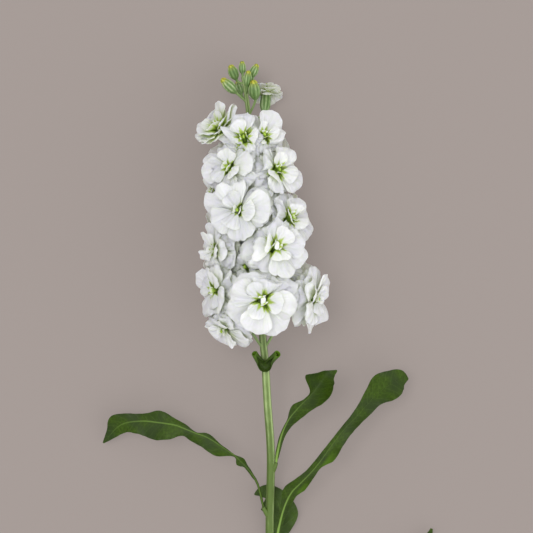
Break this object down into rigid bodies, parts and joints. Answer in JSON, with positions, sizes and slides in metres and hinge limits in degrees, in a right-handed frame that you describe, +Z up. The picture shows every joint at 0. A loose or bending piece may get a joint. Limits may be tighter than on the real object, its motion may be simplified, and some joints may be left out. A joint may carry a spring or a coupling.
{
  "type": "stock flower stem",
  "caption": "Cut stem of white double stock lying on its side: a dense spike of ruffled blooms, green buds at the tip, a ribbed stem and long wavy dark green leaves.",
  "frame": {"origin": "centre of the bounding box's bottom face, on the table that the stem lies on", "axes": "+Y along the stem from its cut end towards the flower head, +X to the right of the picture, +Z up from the table towards the camera"},
  "size_m": [0.2148, 0.4037, 0.0778],
  "materials": {
    "green_stem": "satin",
    "green_leaf": "satin",
    "white_petal": "matte",
    "yellow_petal": "matte"
  },
  "bodies": {
    "root": {"stem": "green_stem", "leaf_top": "green_leaf", "leaf_left": "green_leaf", "leaf_upper": "green_leaf", "leaf_right": "green_leaf", "leaf_back": "green_leaf", "leaf_low": "green_leaf", "bloom_a": "white_petal", "bloom_b": "white_petal", "bloom_c": "white_petal", "bloom_d": "white_petal", "bloom_e": "white_petal", "bloom_f": "white_petal", "bloom_g": "white_petal", "bloom_h": "white_petal", "bloom_i": "white_petal", "bloom_j": "white_petal", "bloom_k": "white_petal", "bloom_l": "white_petal", "bloom_m": "white_petal", "bloom_n": "white_petal", "bloom_o": "white_petal", "bloom_p": "white_petal", "bloom_q": "white_petal", "bloom_r": "white_petal", "bloom_s": "white_petal", "bloom_t": "white_petal", "bloom_u": "white_petal", "bloom_v": "white_petal", "bloom_w": "white_petal", "bloom_x": "white_petal", "bloom_y": "white_petal", "bloom_z": "white_petal", "bloom_aa": "white_petal", "bud_tip_1": "yellow_petal", "bud_tip_2": "yellow_petal", "bud_tip_3": "yellow_petal", "bud_tip_4": "yellow_petal", "bud_tip_5": "yellow_petal", "bud_tip_6": "yellow_petal", "bud_tip_7": "yellow_petal", "bud_tip_8": "yellow_petal"}
  },
  "joints": []
}
